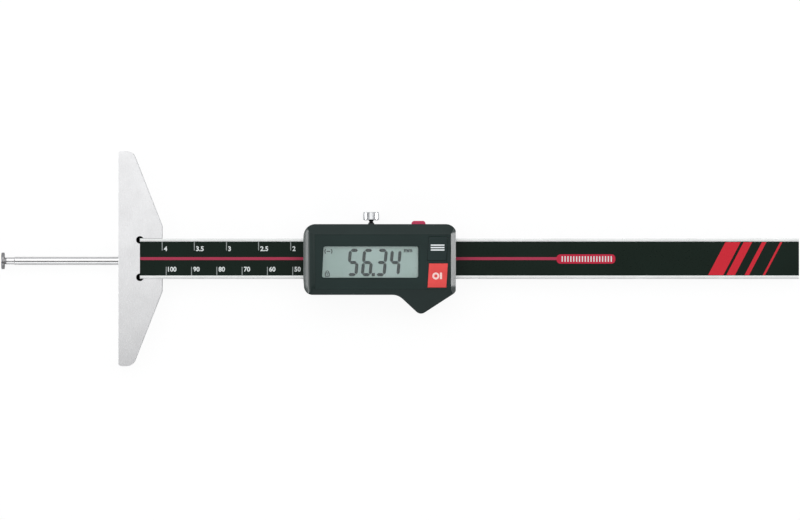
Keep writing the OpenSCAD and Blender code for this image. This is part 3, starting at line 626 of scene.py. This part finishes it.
lcd_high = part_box("lcd_glass")[1]
display_grey = finish("display", shade_of(158, 179, 175), 0.3)
stain(display_grey, grain(display_grey, 9 * mm, (1, 1.6, 1), 1.0), shade_of(155, 177, 172),
      shade_of(163, 182, 179))
gloss(display_grey, grain(display_grey, 1 * mm), 0.26, 0.34)
relief(display_grey, grain(display_grey, 0.1 * mm), 0.0003 * mm)
dress("lcd_glass", display_grey)

display_ink = finish("display_ink", shade_of(34, 50, 50), 0.5, shine=0.1)
stain(display_ink, grain(display_ink, 0.5 * mm), shade_of(30, 46, 46), shade_of(38, 54, 54))
relief(display_ink, grain(display_ink, 0.1 * mm), 0.0002 * mm)
dress("lcd_digits", display_ink)

sign_low = lcd_high.z
sign_high = lcd_high.z + 0.04 * mm
signs = bmesh.new()


def ring(shape, x, y, radius, width, bottom, top, turn=360, start=0):
    """Adds a flat ring, or a part of one: its section is spun round the upright axis at x and y."""
    section = bmesh.ops.create_grid(
        shape, x_segments=1, y_segments=1, size=0.5,
        matrix=Matrix.Translation((x, y, (bottom + top) / 2))
        @ Matrix.Rotation(math.radians(start), 4, "Z")
        @ Matrix.Translation((radius - width / 2, 0, 0))
        @ Matrix.Diagonal((width, 1, top - bottom, 1))
        @ Matrix.Rotation(math.radians(90), 4, "X"))["verts"]
    spun = section + list({e for v in section for e in v.link_edges})
    step_turn = 9
    whole = turn == 360
    if whole:
        bmesh.ops.delete(shape, geom=list(section[0].link_faces), context="FACES_ONLY")
    else:
        spun += section[0].link_faces
    bmesh.ops.spin(shape, geom=spun, cent=(x, y, 0), axis=(0, 0, 1), angle=math.radians(turn),
                   steps=round(turn / step_turn), use_merge=whole)
    bmesh.ops.recalc_face_normals(shape, faces=shape.faces)


link_x, link_y = 83.1 * mm, 2.85 * mm
dash_half_l, dash_half_w = 0.7 * mm, 0.2 * mm
arc_turn = 76
bar(signs, link_x - dash_half_l, link_x + dash_half_l, link_y - dash_half_w, link_y + dash_half_w,
    sign_low, sign_high)
for middle in (0, 180):
    ring(signs, link_x, link_y, 1.6 * mm, 0.4 * mm, sign_low, sign_high,
         turn=arc_turn, start=middle - arc_turn / 2)

lock_x, lock_y = 82.65 * mm, -7.1 * mm
lock_sides = ((-0.95, -0.6, 0, 1.6), (0.6, 0.95, 0, 1.6))
lock_ends = ((-0.6, 0.6, 0, 0.35), (-0.6, 0.6, 1.25, 1.6))
lock_keyhole = (-0.15, 0.15, 0.55, 1.05)
for left, right, low, high in (*lock_sides, *lock_ends, lock_keyhole):
    bar(signs, lock_x + left * mm, lock_x + right * mm, lock_y + low * mm, lock_y + high * mm,
        sign_low, sign_high)
ring(signs, lock_x, lock_y + 1.65 * mm, 0.75 * mm, 0.3 * mm, sign_low, sign_high, turn=180)

unit_x, unit_y = 112.8 * mm, 2.6 * mm
figures(signs, "mm", 1.6 * mm, unit_x, unit_y, sign_low, sign_high, bold=0.05)
display_signs = piece(signs, "display_signs", display_ink)
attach(display_signs, "slider")


# ---------------------------------------------------------------------------------------------
# Display holder: a pale moulded frame that carries the display over the battery. It is matt, so
# that it throws an even light back through the display.

holder_white = moulded("frame_white", shade_of(222, 222, 216), roughness=0.45)
dress("lcd_holder", holder_white)


# ---------------------------------------------------------------------------------------------
# Contact strip: a rubber strip with thin conducting layers, pressed between the main board and
# the display's ledge.

contact_rubber = finish("contact_rubber", shade_of(206, 160, 154), 0.6, shine=0.3)
nodes, links = contact_rubber.node_tree.nodes, contact_rubber.node_tree.links
place = nodes.new("ShaderNodeTexCoord")
layers = nodes.new("ShaderNodeTexWave")
layers.bands_direction = "X"
layers.inputs["Scale"].default_value = 1 / (0.2 * mm)
layers.inputs["Distortion"].default_value = 0.0
links.new(place.outputs["Object"], layers.inputs["Vector"])
stain(contact_rubber, layers.outputs["Fac"], shade_of(40, 34, 34), shade_of(212, 168, 162))
relief(contact_rubber, layers.outputs["Fac"], 0.01 * mm)
dress("contact_strip", contact_rubber)


# ---------------------------------------------------------------------------------------------
# Boards: the main circuit board and the reading head's board over the scale, both with green
# solder resist.

dress("main_board", board_green)
dress("sensor_board", board_green)


# ---------------------------------------------------------------------------------------------
# Chips and the data button's switch: moulded black epoxy with a fine grain. They are soldered
# to the main board.

epoxy = moulded("chip", shade_of(38, 38, 40), roughness=0.5, skin=0.01 * mm)
dress("board_chips", epoxy)
dress("data_switch", epoxy)


# ---------------------------------------------------------------------------------------------
# Switch domes and battery contacts: thin sprung sheet, gold-tinted by its plating. The domes
# give the keys their click, and the contacts press on the coin cell.

spring_steel = finish("spring_steel", shade_of(214, 206, 180), 0.25, metal=1.0)
stain(spring_steel, grain(spring_steel, 1.5 * mm), shade_of(200, 190, 160), shade_of(220, 213, 190))
gloss(spring_steel, grain(spring_steel, 0.4 * mm), 0.2, 0.34)
relief(spring_steel, grain(spring_steel, 0.06 * mm, (20, 1, 1)), 0.001 * mm)
for node in ("key_domes", "battery_contact_plus", "battery_contact_minus"):
    dress(node, spring_steel)


# ---------------------------------------------------------------------------------------------
# Battery tray: a moulded drawer in the housing's lower edge, whose door lies flush with the
# housing's side. It has the housing's own skin, and a soft red seal behind the door.

dress("battery_tray", housing_plastic)
seal_red = finish("seal_rubber", shade_of(172, 74, 64), 0.55, shine=0.3)
stain(seal_red, grain(seal_red, 1.5 * mm), shade_of(160, 64, 54), shade_of(180, 82, 72))
relief(seal_red, grain(seal_red, 0.15 * mm), 0.01 * mm)
dress("tray_seal", seal_red)


# ---------------------------------------------------------------------------------------------
# Coin cell: a nickel-plated can, drawn and polished, with faint marks from its rolling. It lies
# flat in the tray and goes in and out with it.

cell_steel = ground("cell_steel", shade_of(206, 206, 208), 0.24, (30, 1, 1), depth=0.5e-6)
dress("battery_cell", cell_steel)


# ---------------------------------------------------------------------------------------------
# Keys: two leaning caps of smooth hard plastic. The upper one is as dark as the foil and bears
# three pale bars. The lower one is red and bears a pale ring and a bar.

front_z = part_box("front_foil")[1].z
menu_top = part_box("menu_key")[1].z
zero_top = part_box("zero_key")[1].z
key_dark = moulded("key_dark", shade_of(28, 43, 42), roughness=0.24, skin=0.003 * mm)
key_red = moulded("key_red", shade_of(224, 77, 75), roughness=0.34, skin=0.003 * mm)
sign_ink = print_ink("key_ink", shade_of(232, 238, 238))
blush_ink = print_ink("zero_ink", shade_of(250, 214, 208))
for node, name, coat, slot in (("menu_key", "menu_cap", key_dark, "key_dark"),
                               ("zero_key", "zero_cap", key_red, "key_red")):
    shape = copy_of(node)
    soften(shape, 0.15 * mm, least_angle=50, segments=3,
           where=lambda e: min(v.co.z for v in e.verts) > front_z - 0.3 * mm)
    cap = piece(shape, name, coat)
    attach(cap, node)
    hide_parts(node)

bars_left, bars_right = 123.4 * mm, 128.8 * mm
bars_y = 5.3 * mm
bar_w = 0.52 * mm
bar_pitch = 0.95 * mm
shape = bmesh.new()
for row in range(3):
    y = bars_y - row * bar_pitch
    bar(shape, bars_left, bars_right, y - bar_w / 2, y + bar_w / 2, menu_top, menu_top + ink_t)
menu_sign = piece(shape, "menu_bars", sign_ink)
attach(menu_sign, "menu_key")

shape = bmesh.new()
ring(shape, 125.4 * mm, -6.85 * mm, 1.38 * mm, 0.72 * mm, zero_top, zero_top + ink_t)
bar(shape, 127.0 * mm, 127.85 * mm, -8.1 * mm, -5.5 * mm, zero_top, zero_top + ink_t)
zero_sign = piece(shape, "zero_sign", blush_ink)
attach(zero_sign, "zero_key")


# ---------------------------------------------------------------------------------------------
# Data button: a raspberry-red button on the slider's upper edge, with slanted corners. It is
# moulded in one piece, with the same fine skin as the housing.

button_red = moulded("button_red", shade_of(200, 62, 96), roughness=0.36)
shape = copy_of("data_button")
soften(shape, 0.45 * mm, least_angle=30, segments=3,
       where=lambda e: min(v.co.y for v in e.verts) > housing_high.y - 0.5 * mm)
button = piece(shape, "data_cap", button_red)
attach(button, "data_button")
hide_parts("data_button")


# ---------------------------------------------------------------------------------------------
# Lock screw: its fluted head stands clear of the housing's upper edge, and it is nickel-plated
# and bright. The pad between it and the gib is bronze.

knob_low, knob_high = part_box("lock_screw")
knob_axis = (knob_low + knob_high) / 2
flute_from = 0.08 * mm
knob_r = (knob_high.x - knob_low.x) / 2
knob_h = 3.2 * mm
knob_bright = finish("knob_chrome", shade_of(246, 247, 248), 0.3, metal=1.0)
stain(knob_bright, grain(knob_bright, 1.4 * mm), shade_of(240, 241, 243), shade_of(250, 251, 252))
gloss(knob_bright, grain(knob_bright, 0.3 * mm), 0.26, 0.34)
relief(knob_bright, grain(knob_bright, 0.05 * mm, (1, 20, 1)), 0.0004 * mm)
# A darker grey copy of the knob's plating for the flutes: painted shade in the grooves of the head.
flute_painted_shade = finish("flute_painted_shade", shade_of(176, 177, 179), 0.5, metal=1.0)
stain(flute_painted_shade, grain(flute_painted_shade, 0.8 * mm), shade_of(165, 166, 168), shade_of(186, 187, 189))
relief(flute_painted_shade, grain(flute_painted_shade, 0.08 * mm), 0.0008 * mm)
# A dark copy of the knob's plating for the neck under the head: painted shade where the head shadows
# it.
neck_painted_shade = finish("neck_painted_shade", shade_of(66, 66, 68), 0.5, metal=1.0)
stain(neck_painted_shade, grain(neck_painted_shade, 0.8 * mm), shade_of(60, 60, 62), shade_of(74, 74, 76))
relief(neck_painted_shade, grain(neck_painted_shade, 0.08 * mm), 0.0008 * mm)
knob = piece(copy_of("lock_screw"), "lock_knob", knob_bright)
knob.data.materials.append(flute_painted_shade)
knob.data.materials.append(neck_painted_shade)
# Faces below the head take the neck's painted shade, and faces in the flutes take the flutes' painted
# shade.
for face in knob.data.polygons:
    away = (face.center.xz - knob_axis.xz).length
    below_the_head = face.center.y < knob_high.y - knob_h + 0.02 * mm
    in_a_flute = away < knob_r - flute_from and abs(face.normal.y) < 0.5
    if below_the_head:
        face.material_index = 2
    elif in_a_flute:
        face.material_index = 1
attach(knob, "lock_screw")
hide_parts("lock_screw")
dress("clamp_pad", bronze)


# ---------------------------------------------------------------------------------------------
# Floor, light and camera: a pale table under two long soft boxes with a gap between them for
# the camera, and a bright box standing at each end, as for a catalogue picture.

middle_x = 111 * mm
floor_z = cad_box[0][2]
bpy.ops.mesh.primitive_plane_add(size=6, location=(middle_x, 0, floor_z))
floor = bpy.context.object
floor.name = "table"
floor_coat = finish("table_white", shade_of(214, 214, 214), 0.8, shine=0.2)
nodes, links = floor_coat.node_tree.nodes, floor_coat.node_tree.links
seen = nodes.new("ShaderNodeLightPath")
white = nodes.new("ShaderNodeEmission")
white.inputs["Color"].default_value = (1, 1, 1, 1)
white.inputs["Strength"].default_value = 1.07
share = nodes.new("ShaderNodeMath")
share.operation = "MULTIPLY"
share.inputs[1].default_value = 0.85
links.new(seen.outputs["Is Camera Ray"], share.inputs[0])
both = nodes.new("ShaderNodeMixShader")
links.new(share.outputs[0], both.inputs["Fac"])
links.new(nodes["Principled BSDF"].outputs[0], both.inputs[1])
links.new(white.outputs[0], both.inputs[2])
links.new(both.outputs[0], nodes["Material Output"].inputs["Surface"])
floor.data.materials.append(floor_coat)


def soft_box(name, place, tilt, width, depth, radiance):
    """A flat studio lamp of that brightness, where 1 is white, which the camera doesn't see.
    It faces down, or is tilted to face along X."""
    lamp = bpy.data.lights.new(name, "AREA")
    lamp.shape = "RECTANGLE"
    lamp.size = width
    lamp.size_y = depth
    lamp.energy = radiance * math.pi * width * depth
    held = bpy.data.objects.new(name, lamp)
    held.location = place
    held.rotation_euler = (0, math.radians(tilt), 0)
    held.visible_camera = False
    bpy.context.scene.collection.objects.link(held)


box_z = 550 * mm
soft_box("upper_box", (middle_x, 0.30, box_z), 0, 1.4, 0.72, 1.06)
soft_box("lower_box", (middle_x, -0.68, box_z), 0, 1.4, 0.5, 0.62)
soft_box("left_box", (middle_x - 0.65, 0, 0.075), -90, 0.15, 0.2, 6.4)
soft_box("right_box", (middle_x + 0.65, 0, 0.075), 90, 0.15, 0.12, 13.5)

world = bpy.data.worlds.new("studio")
bpy.context.scene.world = world
world.use_nodes = True
nodes, links = world.node_tree.nodes, world.node_tree.links
sky = nodes["Background"]
sky.inputs["Color"].default_value = (0.96, 0.98, 1.0, 1)
place = nodes.new("ShaderNodeTexCoord")


def dimmed(towards, starts, ends, full, least):
    """How bright the sky is round a direction: full away from it, and least straight towards it."""
    facing = nodes.new("ShaderNodeVectorMath")
    facing.operation = "DOT_PRODUCT"
    facing.inputs[1].default_value = towards
    links.new(place.outputs["Generated"], facing.inputs[0])
    dim = nodes.new("ShaderNodeMapRange")
    dim.interpolation_type = "SMOOTHSTEP"
    dim.inputs["From Min"].default_value = starts
    dim.inputs["From Max"].default_value = ends
    dim.inputs["To Min"].default_value = full
    dim.inputs["To Max"].default_value = least
    links.new(facing.outputs["Value"], dim.inputs["Value"])
    return dim.outputs["Result"]


level = nodes.new("ShaderNodeMath")
level.operation = "MULTIPLY"
links.new(dimmed((0, 0, 1), 0.78, 0.92, 1.0, 0.05), level.inputs[0])
links.new(dimmed((0.75, -0.66, 0), 0.6, 0.88, 0.78, 0.06), level.inputs[1])
links.new(level.outputs[0], sky.inputs["Strength"])
seen = nodes.new("ShaderNodeLightPath")
backdrop = nodes.new("ShaderNodeBackground")
backdrop.inputs["Color"].default_value = (1, 1, 1, 1)
both = nodes.new("ShaderNodeMixShader")
links.new(seen.outputs["Is Camera Ray"], both.inputs["Fac"])
links.new(sky.outputs[0], both.inputs[1])
links.new(backdrop.outputs[0], both.inputs[2])
links.new(both.outputs[0], nodes["World Output"].inputs["Surface"])

view_w = 316.2 * mm
view_middle = Vector((111.3, -0.55, 3.5)) * mm
camera_far = 2500 * mm
sensor = 36
camera = bpy.data.cameras.new("camera")
camera.sensor_width = sensor
camera.lens = sensor * camera_far / view_w
held = bpy.data.objects.new("camera", camera)
held.location = view_middle + Vector((0, 0, camera_far))
bpy.context.scene.collection.objects.link(held)
bpy.context.scene.camera = held
bpy.context.scene.view_settings.view_transform = "Standard"
